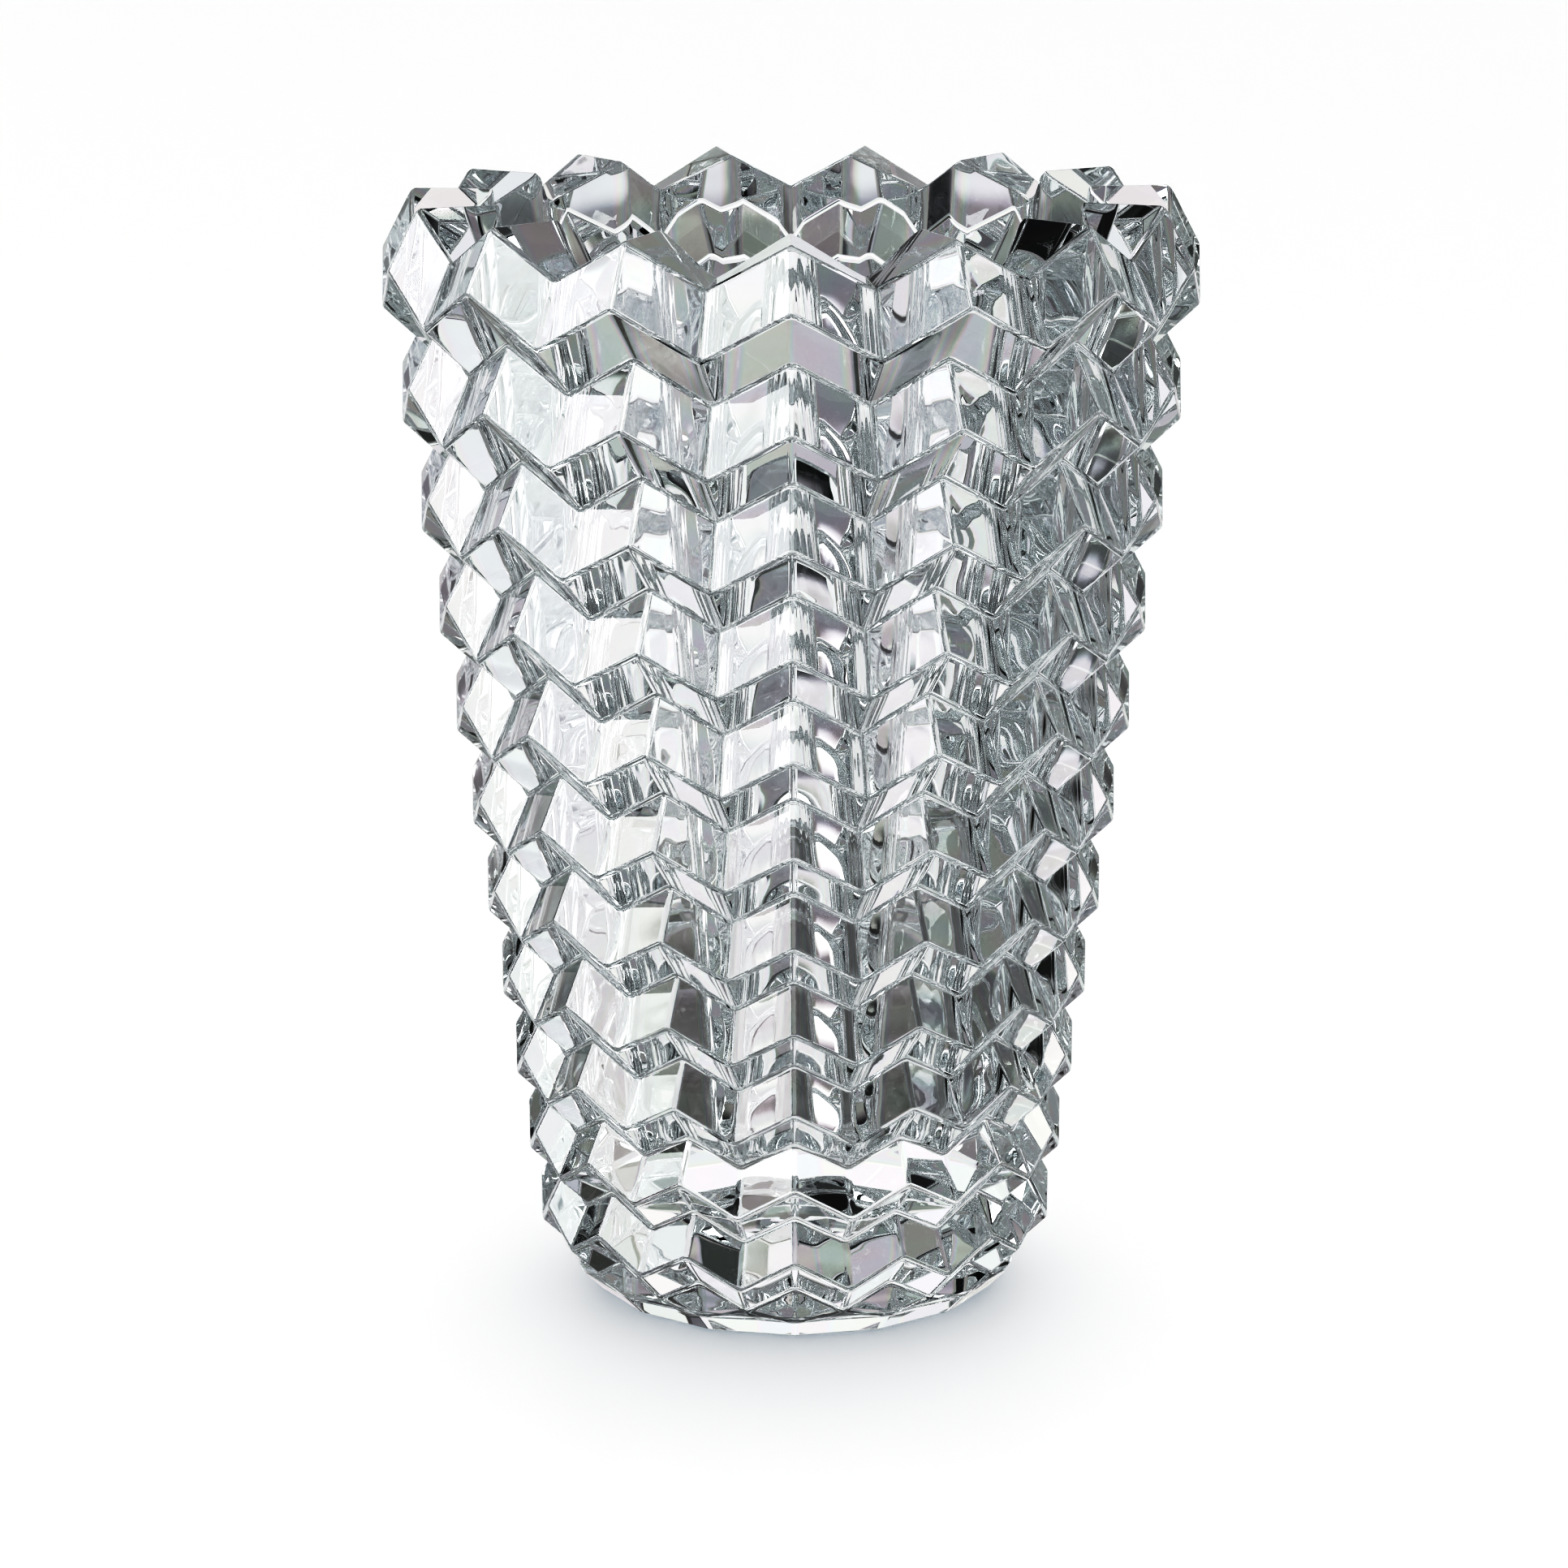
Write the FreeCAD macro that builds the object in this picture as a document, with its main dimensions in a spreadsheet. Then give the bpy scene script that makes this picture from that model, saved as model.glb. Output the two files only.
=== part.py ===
import FreeCAD, Part
import Sketcher
import math
import os

from FreeCAD import Placement, Vector

# Cut crystal vase: one thick piece of clear lead crystal. It is a straight-sided cone
# that narrows towards a faceted foot. The outside carries rings of fifteen prisms,
# one ring below the other; the rim is the first ring cut short. The hollow follows the
# outside: fifteen tapered flutes run from the mouth down to a floor with a rounded edge.
# Millimetres, +Z up, origin at the centre of the resting face. A ridge points to -Y.

os.makedirs("parts", exist_ok=True)
doc = FreeCAD.newDocument("cut_crystal_vase")

SIZES = {
    "overall_height": 280.0,        # resting face to the rim's highest points
    "side_count": 15,               # ridges around the vase
    "ring_count": 11,               # full rings of prisms from rim to foot
    "crown_radius": 94.0,           # ridge top of the first ring, before the rim is cut
    "ring_factor": 0.9575,          # each ring is this much smaller than the one above
    "cone_slope": 0.134,            # radius lost per millimetre of height
    "valley_radius": 92.8,          # top corner of the first ring between two ridges
    "valley_drop": 10.7,            # that corner's height below the ridge top
    "ledge_radius": 102.7,          # lower end of the first ridge, the widest point
    "ledge_drop": 16.7,             # that point's height below the ridge top
    "rim_trim": 1.7,                # height cut off the first ring to make the rim
    "foot_top_radius": 57.7,        # corners of the faceted foot, upper edge
    "foot_radius": 51.6,            # corners of the resting face
    "foot_height": 6.0,             # height of the foot's bevelled band
    "flute_ridge_radius": 73.8,     # hollow at the crown, in line with a ridge
    "flute_valley_radius": 85.1,    # hollow at the crown, in line with a valley
    "flute_ridge_rounding": 6.5,    # soft crease between two flutes, at the crown
    "flute_valley_rounding": 5.5,   # soft bottom of a flute, at the crown
    "floor_height": 46.0,           # thickness of the glass under the hollow
    "floor_rounding": 14.0,         # radius between the hollow's wall and floor
    "cut_clearance": 5.0,           # how far the cutting bodies pass the glass
}


def make_sheet():
    """Store every driving size in one spreadsheet, one row each."""
    sheet = doc.addObject("Spreadsheet::Sheet", "Sizes")
    for row, (alias, value) in enumerate(SIZES.items(), start=1):
        sheet.set(f"A{row}", alias)
        sheet.set(f"B{row}", str(value))
        sheet.setAlias(f"B{row}", alias)
    doc.recompute()
    return sheet


sizes = make_sheet()


def half_turn_steps():
    """Azimuth step from a ridge to the next valley, in degrees."""
    return 180.0 / sizes.side_count


def corner(radius, step, height):
    """Point on the meridian numbered step: even steps are ridges, odd are valleys."""
    angle = math.radians(step * half_turn_steps() - 90.0)
    return Vector(radius * math.cos(angle), radius * math.sin(angle), height)


def scaled_ring(ring):
    """Factor and top height of a ring: all rings are copies scaled about the apex."""
    factor = sizes.ring_factor ** ring
    apex_depth = sizes.crown_radius / sizes.cone_slope
    top = sizes.overall_height + sizes.rim_trim - apex_depth * (1.0 - factor)
    return factor, top


def ridge_top(ring, step):
    factor, top = scaled_ring(ring)
    return corner(sizes.crown_radius * factor, step, top)


def valley_top(ring, step):
    factor, top = scaled_ring(ring)
    height = top - sizes.valley_drop * factor
    return corner(sizes.valley_radius * factor, step, height)


def ledge(ring, step):
    factor, top = scaled_ring(ring)
    return corner(sizes.ledge_radius * factor, step, top - sizes.ledge_drop * factor)


def plane_line(point_a, point_b, point_c, step):
    """Where a plane crosses the meridian: a * radius + b * height = c."""
    normal = (point_b - point_a).cross(point_c - point_a)
    outward = corner(1.0, step, 0.0)
    return normal.dot(outward), normal.z, normal.dot(point_a)


def valley_bottom(ring, step):
    """Corner between two ridges where the prism faces meet the undersides."""
    ridge = step - 1
    face = plane_line(ridge_top(ring, ridge), valley_top(ring, step),
                      ledge(ring, ridge), step)
    underside = plane_line(ledge(ring, ridge), ridge_top(ring + 1, ridge),
                           valley_top(ring + 1, step), step)
    divisor = face[0] * underside[1] - face[1] * underside[0]
    radius = (face[2] * underside[1] - face[1] * underside[2]) / divisor
    height = (face[0] * underside[2] - face[2] * underside[0]) / divisor
    return corner(radius, step, height)


def lowered(top, bottom, drop):
    """Point on the edge from top to bottom that lies drop lower than its top."""
    return top + (bottom - top) * (drop / (top.z - bottom.z))


def ring_corners(ring):
    """The four corner rows of a ring, as two closed zigzags of points."""
    upper = []
    lower = []
    for step in range(2 * int(sizes.side_count)):
        if step % 2:
            top, bottom = valley_top(ring, step), valley_bottom(ring, step)
        else:
            top, bottom = ridge_top(ring, step), ledge(ring, step)
        if ring == 0:
            top = lowered(top, bottom, sizes.rim_trim)
        upper.append(top)
        lower.append(bottom)
    return upper, lower


def facet(*points):
    return Part.Face(Part.makePolygon(list(points) + [points[0]]))


def band(above, below):
    """Flat four-sided facets between two closed rows of points."""
    count = len(above)
    return [facet(above[i], below[i], below[(i + 1) % count], above[(i + 1) % count])
            for i in range(count)]


def fan(tip, row):
    """Flat triangles from one point to a closed row of points."""
    count = len(row)
    return [facet(tip, row[i], row[(i + 1) % count]) for i in range(count)]


def foot_facets(zigzag):
    """Small triangles under the last zigzag, the foot's bevel and the resting face."""
    steps = range(0, 2 * int(sizes.side_count), 2)
    edge = [corner(sizes.foot_top_radius, step, sizes.foot_height) for step in steps]
    base = [corner(sizes.foot_radius, step, 0.0) for step in steps]
    facets = band(edge, base) + [Part.Face(Part.makePolygon(base + [base[0]]))]
    for side, step in enumerate(steps):
        ridge, valley = zigzag[step], zigzag[step + 1]
        next_ridge = zigzag[(step + 2) % len(zigzag)]
        next_side = (side + 1) % len(edge)
        facets.append(facet(ridge, edge[side], valley))
        facets.append(facet(edge[side], edge[next_side], valley))
        facets.append(facet(edge[next_side], next_ridge, valley))
    return facets


def make_blank():
    """The solid faceted glass, with no hollow: a closed shell of flat facets."""
    upper, lower = ring_corners(0)
    facets = fan(Vector(0, 0, sizes.overall_height), upper)
    for ring in range(int(sizes.ring_count)):
        next_upper, next_lower = ring_corners(ring + 1)
        facets += band(upper, lower) + band(lower, next_upper)
        upper, lower = next_upper, next_lower
    facets += foot_facets(upper)
    solid = Part.makeSolid(Part.makeShell(facets))
    if solid.Volume < 0:
        solid.reverse()
    blank = doc.addObject("Part::Feature", "FacetedBlank")
    blank.Shape = solid
    blank.Placement = Placement()
    return blank


def origin_plane(body, role):
    return next(item for item in body.Origin.OriginFeatures if item.Role == role)


def sketch_lines(sketch, points):
    """Closed outline of straight lines joined end to end."""
    count = len(points)
    for i in range(count):
        start, end = points[i], points[(i + 1) % count]
        sketch.addGeometry(Part.LineSegment(start, end), False)
    for i in range(count):
        sketch.addConstraint(Sketcher.Constraint("Coincident", i, 2, (i + 1) % count, 1))


def drive(sketch, constraint, expression):
    """Add a dimension and bind it to the spreadsheet."""
    index = sketch.addConstraint(constraint)
    sketch.renameConstraint(index, f"size_{index}")
    sketch.setExpression(f"Constraints[{index}]", expression)


def taper(height):
    """Size of the vase at a height, as a share of its size at the crown."""
    below_crown = sizes.overall_height + sizes.rim_trim - height
    return 1.0 - below_crown * sizes.cone_slope / sizes.crown_radius


def taper_formula(height_formula):
    """The same share as a spreadsheet formula."""
    below_crown = f"(Sizes.overall_height + Sizes.rim_trim - {height_formula})"
    return f"(1 - {below_crown} * Sizes.cone_slope / Sizes.crown_radius)"


def make_floor_shape():
    """Turned cone just wider than the flutes, with the hollow's flat, rounded floor."""
    body = doc.addObject("PartDesign::Body", "FloorShape")
    profile = body.newObject("Sketcher::SketchObject", "FloorProfile")
    profile.AttachmentSupport = [(origin_plane(body, "XZ_Plane"), "")]
    profile.MapMode = "FlatFace"
    floor = sizes.floor_height
    top = sizes.overall_height + sizes.cut_clearance
    floor_radius = sizes.flute_valley_radius * taper(floor)
    top_radius = sizes.flute_valley_radius * taper(top)
    sketch_lines(profile, [Vector(0, floor, 0), Vector(floor_radius, floor, 0),
                           Vector(top_radius, top, 0), Vector(0, top, 0)])
    floor_line, wall_line, top_line, axis_line = range(4)
    profile.addConstraint(Sketcher.Constraint("Horizontal", floor_line))
    profile.addConstraint(Sketcher.Constraint("Horizontal", top_line))
    profile.addConstraint(Sketcher.Constraint("PointOnObject", axis_line, 1, -2))
    profile.addConstraint(Sketcher.Constraint("PointOnObject", axis_line, 2, -2))
    top_formula = "(Sizes.overall_height + Sizes.cut_clearance)"
    drive(profile, Sketcher.Constraint("DistanceY", -1, 1, floor_line, 1, floor),
          "Sizes.floor_height")
    drive(profile, Sketcher.Constraint("DistanceY", -1, 1, top_line, 1, top),
          top_formula)
    drive(profile, Sketcher.Constraint("DistanceX", -1, 1, wall_line, 1, floor_radius),
          f"Sizes.flute_valley_radius * {taper_formula('Sizes.floor_height')}")
    drive(profile, Sketcher.Constraint("DistanceX", -1, 1, top_line, 1, top_radius),
          f"Sizes.flute_valley_radius * {taper_formula(top_formula)}")
    turned = body.newObject("PartDesign::Revolution", "TurnedFloor")
    turned.Profile = profile
    turned.ReferenceAxis = (profile, ["V_Axis"])
    turned.Angle = 360.0
    doc.recompute()
    rounding = body.newObject("PartDesign::Fillet", "FloorRounding")
    rounding.Base = (turned, [floor_edge(turned.Shape)])
    rounding.setExpression("Radius", "Sizes.floor_rounding")
    body.Tip = rounding
    return body


def floor_edge(shape):
    """Name of the round edge between the hollow's floor and wall."""
    for number, edge in enumerate(shape.Edges, start=1):
        on_floor = abs(edge.CenterOfMass.z - sizes.floor_height) < 0.001
        if on_floor and isinstance(edge.Curve, Part.Circle):
            return f"Edge{number}"
    raise RuntimeError("the hollow has no floor edge")


def rounded_corner(before, point, after, rounding):
    """Start, middle and end of the arc that rounds one corner of an outline."""
    to_before = (before - point).normalize()
    to_after = (after - point).normalize()
    half_angle = to_before.getAngle(to_after) / 2.0
    reach = rounding / math.tan(half_angle)
    inward = (to_before + to_after).normalize()
    middle = point + inward * (rounding / math.sin(half_angle) - rounding)
    return point + to_before * reach, middle, point + to_after * reach


def flute_outline(name, height):
    """Closed outline of the flutes at a height: a star with rounded corners."""
    radii = (sizes.flute_ridge_radius, sizes.flute_valley_radius)
    roundings = (sizes.flute_ridge_rounding, sizes.flute_valley_rounding)
    scale = taper(height)
    points = [corner(radii[step % 2] * scale, step, height)
              for step in range(2 * int(sizes.side_count))]
    arcs = []
    for step, point in enumerate(points):
        following = points[(step + 1) % len(points)]
        rounding = roundings[step % 2] * scale
        arcs.append(rounded_corner(points[step - 1], point, following, rounding))
    edges = []
    for arc, following in zip(arcs, arcs[1:] + arcs[:1]):
        edges.append(Part.Arc(*arc).toShape())
        edges.append(Part.LineSegment(arc[2], following[0]).toShape())
    outline = doc.addObject("Part::Feature", name)
    outline.Shape = Part.Wire(edges)
    return outline


def make_flutes():
    """Tapered fluted core from below the floor to above the rim."""
    below_floor = sizes.floor_height - sizes.cut_clearance
    above_rim = sizes.overall_height + sizes.cut_clearance
    sections = [flute_outline("LowerStar", below_floor),
                flute_outline("UpperStar", above_rim)]
    flutes = doc.addObject("Part::Loft", "Flutes")
    flutes.Sections = sections
    flutes.Solid = True
    flutes.Ruled = True
    return flutes


def make_vase():
    """Sink the fluted hollow into the faceted glass."""
    cutters = [make_flutes(), make_floor_shape()]
    hollow = doc.addObject("Part::MultiCommon", "Hollow")
    hollow.Shapes = cutters
    vase = doc.addObject("Part::Cut", "Vase")
    vase.Base = make_blank()
    vase.Tool = hollow
    vase.Label = "vase_body"
    doc.recompute()
    return vase


def check_objects():
    """Stop if any object failed to build."""
    for item in doc.Objects:
        if "Invalid" in item.State or "Error" in item.State:
            raise RuntimeError(f"{item.Name} did not build: {item.State}")
        shape = getattr(item, "Shape", None)
        if shape is not None and (shape.isNull() or not shape.isValid()):
            raise RuntimeError(f"{item.Name} has no valid shape")


def export(item):
    item.Shape.exportStep(f"parts/{item.Label}.step")
    box = item.Shape.BoundBox
    print(f"{item.Label}: {len(item.Shape.Solids)} solid, {len(item.Shape.Faces)} faces,"
          f" {item.Shape.Volume / 1000:.0f} cm3, height {box.ZLength:.1f} mm,"
          f" width {box.XLength:.1f} x {box.YLength:.1f} mm")


vase_body = make_vase()
check_objects()
export(vase_body)
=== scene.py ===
import bmesh
import bpy
import math
from mathutils import Euler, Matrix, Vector


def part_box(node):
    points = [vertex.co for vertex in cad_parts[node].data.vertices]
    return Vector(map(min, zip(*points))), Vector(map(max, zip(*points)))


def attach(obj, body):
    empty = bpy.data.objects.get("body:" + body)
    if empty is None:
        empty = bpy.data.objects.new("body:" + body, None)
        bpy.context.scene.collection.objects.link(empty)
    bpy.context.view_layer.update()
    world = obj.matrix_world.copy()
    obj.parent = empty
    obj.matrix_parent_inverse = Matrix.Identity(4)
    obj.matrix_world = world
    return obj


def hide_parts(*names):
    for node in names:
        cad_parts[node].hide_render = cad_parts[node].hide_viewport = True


# Visual model of the cut crystal vase: the CAD shape rebuilt as one fine mesh with polished
# arrises, a fluted hollow with soft creases and a clear glass material, standing in a plain
# studio. Metres, +Z up, the CAD frame.

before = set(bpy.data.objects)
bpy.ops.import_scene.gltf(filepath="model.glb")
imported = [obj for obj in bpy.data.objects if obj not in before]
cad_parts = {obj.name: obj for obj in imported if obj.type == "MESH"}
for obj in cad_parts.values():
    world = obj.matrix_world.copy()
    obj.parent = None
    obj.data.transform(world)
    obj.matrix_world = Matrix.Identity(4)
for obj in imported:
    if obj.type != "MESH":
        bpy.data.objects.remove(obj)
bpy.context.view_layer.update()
LOW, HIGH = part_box("vase_body")

MM = 0.001
SIDES = 15                       # ridges around the vase
STEPS = 2 * SIDES                # meridians: even ones are ridges, odd ones valleys
STEP_ANGLE = 2.0 * math.pi / STEPS
RINGS = 11                       # full rings of prisms
HEIGHT = HIGH.z - LOW.z
RIM_TRIM = 1.7 * MM              # cut off the first ring to make the rim
CROWN_HEIGHT = HEIGHT + RIM_TRIM
CROWN_RADIUS = 94.0 * MM         # ridge top of the first ring, before the rim is cut
CONE_SLOPE = 0.134
RING_FACTOR = 0.9575             # each ring is this much smaller than the one above
VALLEY_RADIUS = 92.8 * MM
VALLEY_DROP = 10.7 * MM
LEDGE_RADIUS = 102.7 * MM
LEDGE_DROP = 16.7 * MM
FOOT_TOP_RADIUS = 57.7 * MM
FOOT_RADIUS = 51.6 * MM
FOOT_HEIGHT = 6.0 * MM

FLUTE_RIDGE = 73.8 * MM          # hollow's radius at the crown, in line with a ridge
FLUTE_VALLEY = 85.1 * MM         # and in line with a valley
RIDGE_ROUNDING = 6.5 * MM        # soft crease where two flutes meet
VALLEY_ROUNDING = 5.5 * MM       # soft bottom of a flute
SINK_DEPTH = 0.2 * MM            # the wall sinks a little behind each ring of prisms
SINK_PLACE = 0.5                 # middle of a sink, in rings below the ridge tops
FLOOR_HEIGHT = 46.0 * MM
FLOOR_ROUNDING = 14.0 * MM
ARRIS_WIDTH = 1.1 * MM           # polished edge between two facets
MOUTH_SHARE = 0.6                # the mouth has a finer arris
ROOF_SHARE = 0.3                 # and the rim's roof lines the finest
ARRIS_SEGMENTS = 4
CREASE_ANGLE = math.radians(12)  # edges sharper than this are polished arrises

ROUNDING_POINTS = 10             # points along half of each soft crease
FLANK_POINTS = 8                 # points across each flat flank
WALL_ROWS = 96                   # rows of faces down the fluted wall
NOSE_ROWS = 12                   # and around its rounded lower corner
MOUTH_STEPS = 20                 # repeats that settle a point of the mouth


def corner(radius, step, height):
    """Point on the meridian numbered step; step 0 is the ridge that points to -Y."""
    angle = step * STEP_ANGLE - math.pi / 2.0
    return Vector((radius * math.cos(angle), radius * math.sin(angle), height))


def taper(height):
    """Size of the vase at a height, as a share of its size at the crown."""
    return 1.0 - (CROWN_HEIGHT - height) * CONE_SLOPE / CROWN_RADIUS


def scaled_ring(ring):
    """Factor and top height of a ring: all rings are copies scaled about the apex."""
    factor = RING_FACTOR ** ring
    return factor, CROWN_HEIGHT - CROWN_RADIUS / CONE_SLOPE * (1.0 - factor)


def ring_point(ring, step, radius, drop):
    factor, top = scaled_ring(ring)
    return corner(radius * factor, step, top - drop * factor)


def ridge_top(ring, step):
    return ring_point(ring, step, CROWN_RADIUS, 0.0)


def valley_top(ring, step):
    return ring_point(ring, step, VALLEY_RADIUS, VALLEY_DROP)


def ledge(ring, step):
    return ring_point(ring, step, LEDGE_RADIUS, LEDGE_DROP)


def plane_line(point_a, point_b, point_c, step):
    """Where a plane crosses the meridian: a * radius + b * height = c."""
    normal = (point_b - point_a).cross(point_c - point_a)
    return normal.dot(corner(1.0, step, 0.0)), normal.z, normal.dot(point_a)


def valley_bottom(ring, step):
    """Corner between two ridges where the prism faces meet the undersides."""
    ridge = step - 1
    face = plane_line(ridge_top(ring, ridge), valley_top(ring, step),
                      ledge(ring, ridge), step)
    under = plane_line(ledge(ring, ridge), ridge_top(ring + 1, ridge),
                       valley_top(ring + 1, step), step)
    divisor = face[0] * under[1] - face[1] * under[0]
    radius = (face[2] * under[1] - face[1] * under[2]) / divisor
    height = (face[0] * under[2] - face[2] * under[0]) / divisor
    return corner(radius, step, height)


def ring_corners(ring):
    """The upper and lower zigzag of a ring's prisms."""
    upper = []
    lower = []
    for step in range(STEPS):
        if step % 2:
            top, bottom = valley_top(ring, step), valley_bottom(ring, step)
        else:
            top, bottom = ridge_top(ring, step), ledge(ring, step)
        if ring == 0:
            top = top + (bottom - top) * (RIM_TRIM / (top.z - bottom.z))
        upper.append(top)
        lower.append(bottom)
    return upper, lower


def rounding_points(centre, radius, start, end, count):
    """Points on an arc around a centre, from one angle to another."""
    points = []
    for k in range(count + 1):
        angle = start + (end - start) * k / count
        points.append(centre + radius * Vector((math.cos(angle), math.sin(angle))))
    return points


def flute_outline():
    """Half a flute at the crown, ridge to valley, as (share of a step, radius) pairs."""
    ridge = Vector((FLUTE_RIDGE, 0.0))
    valley_way = Vector((math.cos(STEP_ANGLE), math.sin(STEP_ANGLE)))
    flank_way = (valley_way * FLUTE_VALLEY - ridge).normalized()
    outward = Vector((flank_way.y, -flank_way.x))
    reach = ridge.dot(outward)
    lean = math.atan2(outward.y, outward.x)
    centre = Vector(((reach + RIDGE_ROUNDING) / outward.x, 0.0))
    points = rounding_points(centre, RIDGE_ROUNDING, -math.pi, lean - math.pi,
                             ROUNDING_POINTS)
    centre = valley_way * ((reach - VALLEY_ROUNDING) / valley_way.dot(outward))
    bend = rounding_points(centre, VALLEY_ROUNDING, lean, STEP_ANGLE, ROUNDING_POINTS)
    flank = bend[0] - points[-1]
    start = points[-1]
    points += [start + flank * k / FLANK_POINTS for k in range(1, FLANK_POINTS)] + bend
    return [(math.atan2(point.y, point.x) / STEP_ANGLE, point.length) for point in points]


def full_outline():
    """The outline all around as (step, radius) pairs; both ends of each half are shared."""
    half = flute_outline()
    points = []
    for side in range(SIDES):
        points += [(2 * side + share, radius) for share, radius in half[:-1]]
        points += [(2 * side + 2 - share, radius) for share, radius in half[:0:-1]]
    return points


OUTLINE = full_outline()
HALF_COUNT = len(OUTLINE) // STEPS
DEEPEST = max(radius for step, radius in OUTLINE)


def sink(height):
    """Slight hollow that the cooling glass leaves in the wall behind each ring."""
    ring = math.log(taper(height)) / math.log(RING_FACTOR)
    return SINK_DEPTH * math.cos(2.0 * math.pi * (ring - SINK_PLACE))


def wall_radius(index, height):
    """Radius of the hollow at an outline point: fluted wall, cut to a rounded nose."""
    radius = OUTLINE[index][1] * taper(height) + sink(height)
    lift = FLOOR_HEIGHT + FLOOR_ROUNDING - height
    if lift > 0.0:
        nose = DEEPEST * taper(FLOOR_HEIGHT + FLOOR_ROUNDING) - FLOOR_ROUNDING
        nose += math.sqrt(max(0.0, FLOOR_ROUNDING ** 2 - lift ** 2))
        radius = min(radius, nose)
    return radius


def roof_height(radius, step, rim):
    """Height of the rim's roof planes: level on a ridge, lowest on a valley."""
    place = step % 2.0
    share = min(place, 2.0 - place)
    fall = HEIGHT - rim[1].z
    aside = radius * math.sin(share * STEP_ANGLE)
    return HEIGHT - fall * aside / (rim[1].xy.length * math.sin(STEP_ANGLE))


def mouth_point(index, rim):
    """Where the fluted wall meets the roof planes, found by repeated substitution."""
    height = HEIGHT
    for _ in range(MOUTH_STEPS):
        radius = wall_radius(index, height)
        height = roof_height(radius, OUTLINE[index][0], rim)
    return corner(radius, OUTLINE[index][0], height)


def add_row(mesh, points):
    return [mesh.verts.new(point) for point in points]


def join_rows(mesh, above, below):
    """Quads between two closed rows of corners, one row below the other."""
    count = len(above)
    for i in range(count):
        j = (i + 1) % count
        mesh.faces.new((above[i], below[i], below[j], above[j]))


def add_foot(mesh, zigzag):
    """Small triangles under the last zigzag, the foot's bevel and the resting face."""
    ridges = range(0, STEPS, 2)
    edge = add_row(mesh, [corner(FOOT_TOP_RADIUS, s, FOOT_HEIGHT) for s in ridges])
    base = add_row(mesh, [corner(FOOT_RADIUS, s, 0.0) for s in ridges])
    join_rows(mesh, edge, base)
    mesh.faces.new(list(reversed(base)))
    for side in range(SIDES):
        ridge, valley = zigzag[2 * side], zigzag[2 * side + 1]
        next_ridge = zigzag[(2 * side + 2) % STEPS]
        here, there = edge[side], edge[(side + 1) % SIDES]
        mesh.faces.new((ridge, here, valley))
        mesh.faces.new((here, there, valley))
        mesh.faces.new((there, next_ridge, valley))


def add_outside(mesh):
    """All facets from the rim's outer edge to the resting face; returns the rim row."""
    upper, lower = ring_corners(0)
    rim = above = add_row(mesh, upper)
    for ring in range(RINGS):
        next_upper, next_lower = ring_corners(ring + 1)
        below = add_row(mesh, lower)
        join_rows(mesh, above, below)
        above = add_row(mesh, next_upper)
        join_rows(mesh, below, above)
        lower = next_lower
    add_foot(mesh, above)
    return rim


def add_roofs(mesh, rim, mouth):
    """Flat roof planes of the rim, between its outer edge and the mouth."""
    for side in range(STEPS):
        start = side * HALF_COUNT
        inner = [mouth[(start + k) % len(mouth)] for k in range(HALF_COUNT, -1, -1)]
        mesh.faces.new([rim[side], rim[(side + 1) % STEPS]] + inner)


def hollow_levels(tops):
    """Heights of each row of the hollow: even steps down the wall, then the nose."""
    wall_foot = FLOOR_HEIGHT + FLOOR_ROUNDING
    levels = []
    for k in range(1, WALL_ROWS + 1):
        share = k / WALL_ROWS
        levels.append([top + (wall_foot - top) * share for top in tops])
    for k in range(1, NOSE_ROWS + 1):
        drop = FLOOR_ROUNDING * math.sin(math.pi / 2.0 * k / NOSE_ROWS)
        levels.append([wall_foot - drop] * len(tops))
    return levels


def add_hollow(mesh, rim):
    """Roofs and mouth, fluted wall, rounded nose and flat floor."""
    rim_points = [vert.co for vert in rim]
    row = add_row(mesh, [mouth_point(i, rim_points) for i in range(len(OUTLINE))])
    add_roofs(mesh, rim, row)
    for heights in hollow_levels([vert.co.z for vert in row]):
        points = []
        for i, (step, _) in enumerate(OUTLINE):
            points.append(corner(wall_radius(i, heights[i]), step, heights[i]))
        following = add_row(mesh, points)
        join_rows(mesh, following, row)
        row = following
    mesh.faces.new(row)


def in_hollow(face):
    """True for the fluted wall and the floor, whose creases are soft and not cut."""
    return all(vert.co.z > FLOOR_HEIGHT - MM
               and vert.co.xy.length < DEEPEST * taper(vert.co.z) + MM
               for vert in face.verts)


def arris_share(edge):
    """Width of an edge's arris, as a share of the full width."""
    hollow_faces = sum(in_hollow(face) for face in edge.link_faces)
    if hollow_faces == 2 or edge.calc_face_angle(0.0) < CREASE_ANGLE:
        return 0.0
    if hollow_faces == 1:
        return MOUTH_SHARE
    on_roof = all(len(face.verts) > HALF_COUNT for face in edge.link_faces)
    return ROOF_SHARE if on_roof else 1.0


def mark_arrises(mesh):
    """Give every edge the bevel weight of its arris."""
    weights = mesh.edges.layers.float.new("bevel_weight_edge")
    for edge in mesh.edges:
        edge[weights] = arris_share(edge)


def link(name, mesh, material):
    """Turn a bmesh into an object of the scene, with its material."""
    data = bpy.data.meshes.new(name)
    mesh.to_mesh(data)
    mesh.free()
    data.materials.append(material)
    piece = bpy.data.objects.new(name, data)
    bpy.context.scene.collection.objects.link(piece)
    return piece


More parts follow.
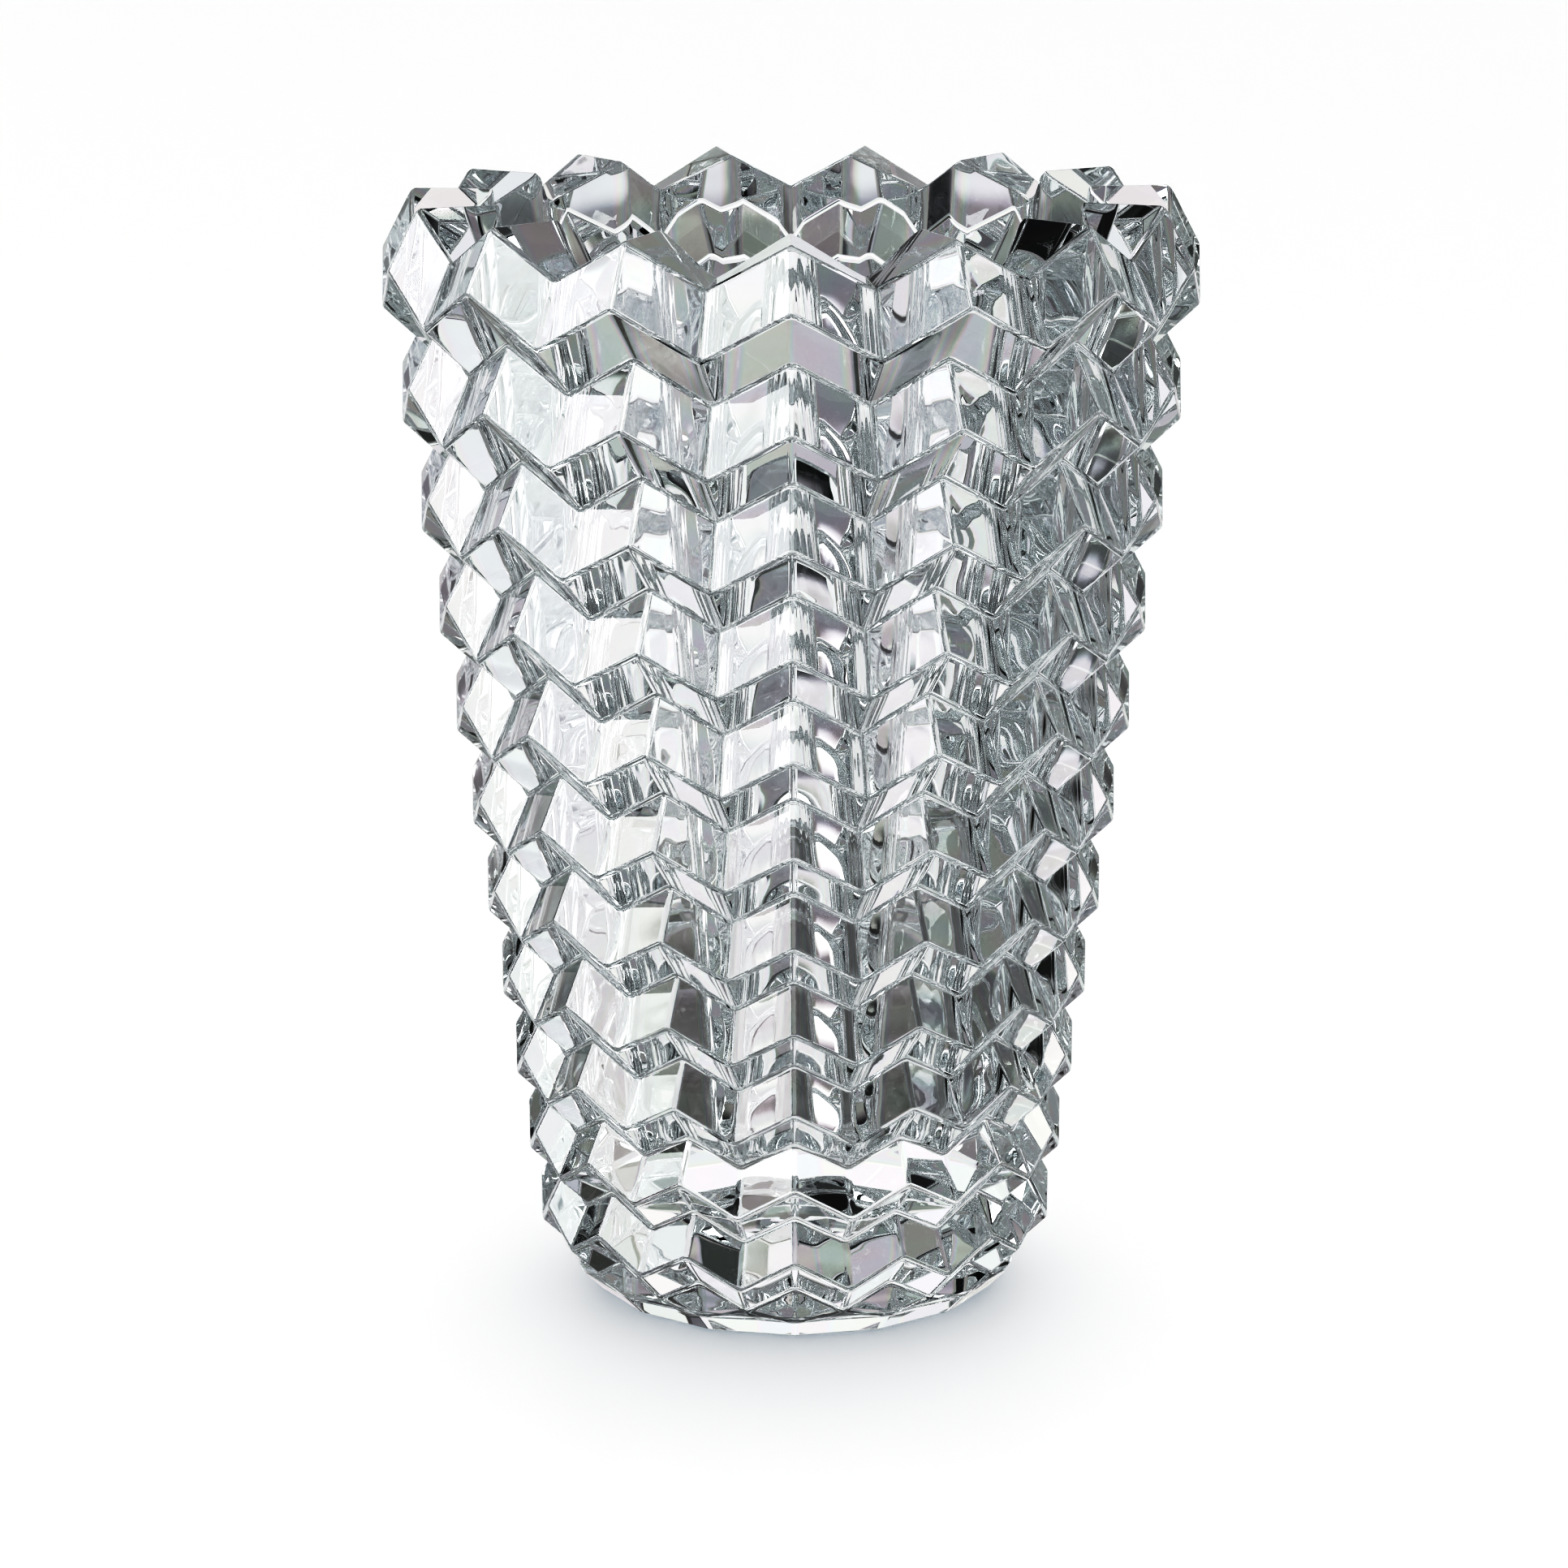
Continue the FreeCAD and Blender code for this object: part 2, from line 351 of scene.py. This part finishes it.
def build_vase():
    """The whole vase as one mesh, its arrises rounded by a bevel."""
    mesh = bmesh.new()
    add_hollow(mesh, add_outside(mesh))
    bmesh.ops.recalc_face_normals(mesh, faces=mesh.faces[:])
    mark_arrises(mesh)
    for face in mesh.faces:
        face.smooth = True
    vase = link("crystal_vase", mesh, crystal_material())
    bevel = vase.modifiers.new("polished_arrises", "BEVEL")
    bevel.limit_method = "WEIGHT"
    bevel.width = ARRIS_WIDTH
    bevel.segments = ARRIS_SEGMENTS
    bevel.harden_normals = True
    bevel.use_clamp_overlap = False
    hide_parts("vase_body")
    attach(vase, "root")


CRYSTAL_IOR = 1.56
CRYSTAL_TINT = (0.988, 0.9925, 0.994, 1.0)
CLEAR = (1.0, 1.0, 1.0, 1.0)
WAVE_SCALE = 45.0                # waviness of the polish: about this many waves a metre
WAVE_DEPTH = 1.2 * MM
WAVE_STRENGTH = 0.22
FILTER_HEIGHT = 75.0 * MM        # only the thick glass of the base throws a shadow
FILTER_TINT = (0.60, 0.62, 0.64, 1.0)


def new_material(name):
    material = bpy.data.materials.new(name)
    material.use_nodes = True
    tree = material.node_tree
    tree.nodes.clear()
    return material, tree


def wavy_glass(tree, place):
    """Clear glass whose polish is very slightly wavy."""
    waves = tree.nodes.new("ShaderNodeTexNoise")
    waves.inputs["Scale"].default_value = WAVE_SCALE
    waves.inputs["Detail"].default_value = 1.0
    bump = tree.nodes.new("ShaderNodeBump")
    bump.inputs["Strength"].default_value = WAVE_STRENGTH
    bump.inputs["Distance"].default_value = WAVE_DEPTH
    glass = tree.nodes.new("ShaderNodeBsdfGlass")
    glass.inputs["IOR"].default_value = CRYSTAL_IOR
    glass.inputs["Roughness"].default_value = 0.0
    glass.inputs["Color"].default_value = CRYSTAL_TINT
    tree.links.new(place, waves.inputs["Vector"])
    tree.links.new(waves.outputs["Fac"], bump.inputs["Height"])
    tree.links.new(bump.outputs["Normal"], glass.inputs["Normal"])
    return glass


def light_filter(tree, place):
    """Filter for the floor's light: darkest at the foot, clear above FILTER_HEIGHT."""
    parts = tree.nodes.new("ShaderNodeSeparateXYZ")
    fade = tree.nodes.new("ShaderNodeMapRange")
    fade.inputs["From Max"].default_value = FILTER_HEIGHT
    tint = tree.nodes.new("ShaderNodeMix")
    tint.data_type = "RGBA"
    tint.inputs["A"].default_value = FILTER_TINT
    tint.inputs["B"].default_value = CLEAR
    passing = tree.nodes.new("ShaderNodeBsdfTransparent")
    tree.links.new(place, parts.inputs[0])
    tree.links.new(parts.outputs["Z"], fade.inputs["Value"])
    tree.links.new(fade.outputs["Result"], tint.inputs["Factor"])
    tree.links.new(tint.outputs["Result"], passing.inputs["Color"])
    return passing


def floor_ray(tree):
    """1 for the rays that light the floor, 0 for those that show the glass."""
    rays = tree.nodes.new("ShaderNodeLightPath")
    either = tree.nodes.new("ShaderNodeMath")
    either.operation = "MAXIMUM"
    tree.links.new(rays.outputs["Is Shadow Ray"], either.inputs[0])
    tree.links.new(rays.outputs["Is Diffuse Ray"], either.inputs[1])
    return either.outputs[0]


def crystal_material():
    """Clear polished crystal; its base holds back some of the light on the floor."""
    material, tree = new_material("lead_crystal")
    place = tree.nodes.new("ShaderNodeTexCoord").outputs["Object"]
    mix = tree.nodes.new("ShaderNodeMixShader")
    output = tree.nodes.new("ShaderNodeOutputMaterial")
    tree.links.new(floor_ray(tree), mix.inputs["Fac"])
    tree.links.new(wavy_glass(tree, place).outputs[0], mix.inputs[1])
    tree.links.new(light_filter(tree, place).outputs[0], mix.inputs[2])
    tree.links.new(mix.outputs[0], output.inputs["Surface"])
    return material


FLOOR_RADIUS = 6.0
FLOOR_SIDES = 96
FLOOR_GAP = 0.2 * MM             # the floor lies this far below the resting face
FLOOR_PAINT = (0.9, 0.9, 0.9, 1.0)


def floor_material():
    material, tree = new_material("white_floor")
    output = tree.nodes.new("ShaderNodeOutputMaterial")
    paint = tree.nodes.new("ShaderNodeBsdfPrincipled")
    paint.inputs["Base Color"].default_value = FLOOR_PAINT
    paint.inputs["Roughness"].default_value = 0.4
    paint.inputs["Specular IOR Level"].default_value = 0.1
    tree.links.new(paint.outputs[0], output.inputs["Surface"])
    return material


def build_floor():
    """Plain white floor; in the glass, the studio's own panels are seen in its place."""
    mesh = bmesh.new()
    bmesh.ops.create_circle(mesh, cap_ends=True, radius=FLOOR_RADIUS, segments=FLOOR_SIDES)
    floor = link("floor", mesh, floor_material())
    floor.location.z = -FLOOR_GAP
    floor.visible_transmission = False
    floor.visible_glossy = False


ROOM_LIGHT = 0.45                # brightness of the grey room
KEY_LIGHT = 7.0
MIRROR_DEPTH = 2.5               # rays up to this depth are mirror images on the outside
FRINGE_RATE = 0.30               # colour fringes: radians of hue per degree
FRINGE_STRENGTH = 0.03
FRINGE_PHASES = (0.0, 2.1, 4.2)  # red, green and blue, a third of a turn apart
BACKDROP_LIGHT = 1.08            # what the camera sees around the vase
FLOOR_LIGHT = 0.80               # even light on the floor
BACK_LIGHT = 6.0                 # lights behind the vase, which throw its shadow forward
BACK_LIGHT_SIDES = (-40.0, 40.0)
BACK_LIGHT_HEIGHTS = (22.0, 46.0)


class Studio:
    """World shader: soft panels placed by azimuth and elevation, turned with the camera.

    Angles are in degrees. Azimuth 0 lies behind the vase, 180 at the camera, and negative
    azimuths to the left. A later panel covers an earlier one.
    """

    def __init__(self, brightness):
        world = bpy.data.worlds.new("studio")
        bpy.context.scene.world = world
        world.use_nodes = True
        world.cycles.sampling_method = "NONE"
        self.nodes = world.node_tree.nodes
        self.links = world.node_tree.links
        self.nodes.clear()
        self.rays = self.nodes.new("ShaderNodeLightPath")
        self.find_angles()
        self.brightness = brightness

    def math(self, operation, *values):
        node = self.nodes.new("ShaderNodeMath")
        node.operation = operation
        for socket, value in zip(node.inputs, values):
            if isinstance(value, (int, float)):
                socket.default_value = value
            else:
                self.links.new(value, socket)
        return node.outputs[0]

    def vector(self, operation, first, second):
        node = self.nodes.new("ShaderNodeVectorMath")
        node.operation = operation
        self.links.new(first, node.inputs[0])
        if isinstance(second, tuple):
            node.inputs[1].default_value = second
        else:
            self.links.new(second, node.inputs[1])
        return node.outputs["Value" if operation == "DOT_PRODUCT" else "Vector"]

    def find_angles(self):
        """Azimuth and elevation of a ray, measured from the camera's viewing direction."""
        ray = self.nodes.new("ShaderNodeTexCoord").outputs["Generated"]
        turn = self.nodes.new("ShaderNodeVectorTransform")
        turn.vector_type = "VECTOR"
        turn.convert_from = "CAMERA"
        turn.convert_to = "WORLD"
        turn.inputs[0].default_value = (0.0, 0.0, 1.0)
        level = self.vector("MULTIPLY", turn.outputs[0], (1.0, 1.0, 0.0))
        ahead = self.vector("NORMALIZE", level, (0.0, 0.0, 0.0))
        right = self.vector("CROSS_PRODUCT", ahead, (0.0, 0.0, 1.0))
        along = self.vector("DOT_PRODUCT", ray, ahead)
        across = self.vector("DOT_PRODUCT", ray, right)
        up = self.vector("DOT_PRODUCT", ray, (0.0, 0.0, 1.0))
        degrees = 180.0 / math.pi
        self.azimuth = self.math("MULTIPLY", self.math("ARCTAN2", across, along), degrees)
        self.elevation = self.math("MULTIPLY", self.math("ARCSINE", up), degrees)

    def within(self, value, span, soft):
        """1 between two angles, 0 outside, with soft edges; angles wrap around."""
        middle = (span[0] + span[1]) / 2.0
        reach = (span[1] - span[0]) / 2.0
        offset = self.math("WRAP", self.math("SUBTRACT", value, middle), 180.0, -180.0)
        node = self.nodes.new("ShaderNodeMapRange")
        node.interpolation_type = "SMOOTHSTEP"
        self.links.new(self.math("ABSOLUTE", offset), node.inputs["Value"])
        node.inputs["From Min"].default_value = reach + soft
        node.inputs["From Max"].default_value = reach - soft
        return node.outputs["Result"]

    def blend(self, mask, below, above):
        change = self.math("SUBTRACT", above, below)
        return self.math("MULTIPLY_ADD", mask, change, below)

    def panel(self, sides, heights, brightness, soft=2.0):
        """Lay a panel over the surround; sides and heights are (from, to) angles."""
        across = self.within(self.azimuth, sides, soft)
        upward = self.within(self.elevation, heights, soft)
        mask = self.math("MULTIPLY", across, upward)
        self.brightness = self.blend(mask, self.brightness, brightness)

    def belt(self, heights, brightness, soft=3.0):
        """The same all the way around, between two elevations."""
        mask = self.within(self.elevation, heights, soft)
        self.brightness = self.blend(mask, self.brightness, brightness)

    def floor_light(self):
        """Brightness that lights the floor: even, with a brighter patch at the back."""
        sides = self.within(self.azimuth, BACK_LIGHT_SIDES, soft=25.0)
        heights = self.within(self.elevation, BACK_LIGHT_HEIGHTS, soft=8.0)
        behind = self.math("MULTIPLY", sides, heights)
        return self.blend(behind, FLOOR_LIGHT, BACK_LIGHT)

    def fringe(self, phase):
        """Slight waves in one colour across the panels, for the glass's faint rainbows."""
        angle = self.math("MULTIPLY_ADD", self.azimuth, FRINGE_RATE, phase)
        angle = self.math("MULTIPLY_ADD", self.elevation, FRINGE_RATE, angle)
        return self.math("MULTIPLY_ADD", self.math("SINE", angle), FRINGE_STRENGTH, 1.0)

    def finish(self):
        """Camera rays see plain white, the floor gets soft light, the glass the panels."""
        on_floor = self.floor_light()
        seen = self.nodes.new("ShaderNodeCombineColor")
        for channel, phase in enumerate(FRINGE_PHASES):
            shown = self.math("MULTIPLY", self.brightness, self.fringe(phase))
            shown = self.blend(self.rays.outputs["Is Diffuse Ray"], shown, on_floor)
            shown = self.blend(self.rays.outputs["Is Camera Ray"], shown, BACKDROP_LIGHT)
            self.links.new(shown, seen.inputs[channel])
        background = self.nodes.new("ShaderNodeBackground")
        output = self.nodes.new("ShaderNodeOutputWorld")
        self.links.new(seen.outputs[0], background.inputs["Color"])
        self.links.new(background.outputs[0], output.inputs["Surface"])


def add_backdrop(studio):
    """White sweep behind the vase under a dark wall, with a grey table in front of it."""
    studio.belt((60.0, 120.0), 0.2)                          # ceiling
    studio.panel((-40.0, 70.0), (35.0, 60.0), 0.1, 3.0)      # dark wall
    studio.panel((-35.0, 15.0), (10.0, 20.0), 0.6, 3.0)      # shaded top of the backdrop
    studio.panel((-20.0, 0.0), (25.0, 35.0), 0.65)           # its glow on the wall
    studio.panel((-45.0, 30.0), (-30.0, -10.0), 0.9)         # its sweep onto the table
    studio.panel((-45.0, 20.0), (-10.0, 10.0), 1.05)         # its bright middle
    studio.panel((-60.0, 45.0), (-65.0, -45.0), 0.3, 3.0)    # table
    studio.panel((-30.0, 15.0), (-45.0, -35.0), 0.3)         # shaded edge of the table


def add_sides(studio):
    """Side walls, a white card and a strip light, with black cloth and flags between."""
    studio.panel((-145.0, -115.0), (-20.0, -5.0), 0.8)       # left wall
    studio.panel((-100.0, -75.0), (-30.0, -15.0), 1.4)       # white card
    studio.panel((-75.0, -65.0), (-35.0, -15.0), 0.1)        # dark cloth beside the card
    studio.panel((100.0, 130.0), (-20.0, 5.0), 0.65)         # right wall
    studio.panel((70.0, 110.0), (-5.0, 10.0), 2.0, 1.5)      # strip light
    studio.panel((45.0, 110.0), (-45.0, -25.0), 0.1)         # dark cloth under it
    studio.panel((65.0, 80.0), (10.0, 30.0), 0.05, 1.5)      # black flags
    studio.panel((-70.0, -45.0), (5.0, 35.0), 0.0, 1.5)
    studio.panel((110.0, 140.0), (25.0, 40.0), 0.0, 1.5)
    studio.panel((10.0, 20.0), (45.0, 65.0), 0.0, 1.5)
    studio.panel((-45.0, -40.0), (-10.0, 5.0), 0.0, 1.5)     # stands that hold the flags
    studio.panel((20.0, 30.0), (-10.0, 30.0), 0.2, 1.5)


def add_lights(studio):
    """Light over the camera, and a key light whose full size shows in mirror images."""
    studio.panel((160.0, 200.0), (35.0, 45.0), 3.0)
    studio.panel((-90.0, -70.0), (10.0, 25.0), 4.0, 1.5)
    mirror = studio.math("LESS_THAN", studio.rays.outputs["Ray Depth"], MIRROR_DEPTH)
    key = studio.blend(mirror, studio.brightness, KEY_LIGHT)
    studio.panel((-150.0, -65.0), (10.0, 50.0), key, soft=0.7)


def build_studio():
    studio = Studio(ROOM_LIGHT)
    add_backdrop(studio)
    add_sides(studio)
    add_lights(studio)
    studio.finish()


CAMERA_DISTANCE = 1267 * MM
CAMERA_HEIGHT = 446 * MM
CAMERA_PITCH = math.radians(14.03)
CAMERA_ROLL = math.radians(0.23)
SENSOR_WIDTH = 36.0
LENS = 118.3
LENS_SHIFT = -0.0026             # sideways, as a share of the picture's width


def build_camera():
    """Camera in front of the vase, a little above the rim and tilted down."""
    data = bpy.data.cameras.new("camera")
    data.sensor_width = SENSOR_WIDTH
    data.lens = LENS
    data.shift_x = LENS_SHIFT
    camera = bpy.data.objects.new("camera", data)
    bpy.context.scene.collection.objects.link(camera)
    camera.location = (0.0, -CAMERA_DISTANCE, CAMERA_HEIGHT)
    camera.rotation_euler = Euler((math.pi / 2.0 - CAMERA_PITCH, CAMERA_ROLL, 0.0))
    bpy.context.scene.camera = camera


TONE_CURVE = ((0.3, 0.06), (0.45, 0.22), (0.6, 0.54), (0.7, 0.7))
ALL_COLOURS = 3                  # the curve that acts on red, green and blue together
GLASS_BOUNCES = 40
MIRROR_BOUNCES = 20
FILTER_BOUNCES = 64


def set_tone_curve(view):
    """Crisp print: darken the shadows, leave the lighter greys and white as they are."""
    view.use_curve_mapping = True
    mapping = view.curve_mapping
    for shade, result in TONE_CURVE:
        mapping.curves[ALL_COLOURS].points.new(shade, result)
    mapping.update()


def set_look():
    """Plain colours, and enough bounces for light to leave the glass again."""
    scene = bpy.context.scene
    scene.view_settings.view_transform = "Standard"
    set_tone_curve(scene.view_settings)
    scene.cycles.max_bounces = GLASS_BOUNCES
    scene.cycles.transmission_bounces = GLASS_BOUNCES
    scene.cycles.glossy_bounces = MIRROR_BOUNCES
    scene.cycles.transparent_max_bounces = FILTER_BOUNCES
    scene.cycles.use_denoising = True


build_vase()
build_floor()
build_studio()
build_camera()
set_look()
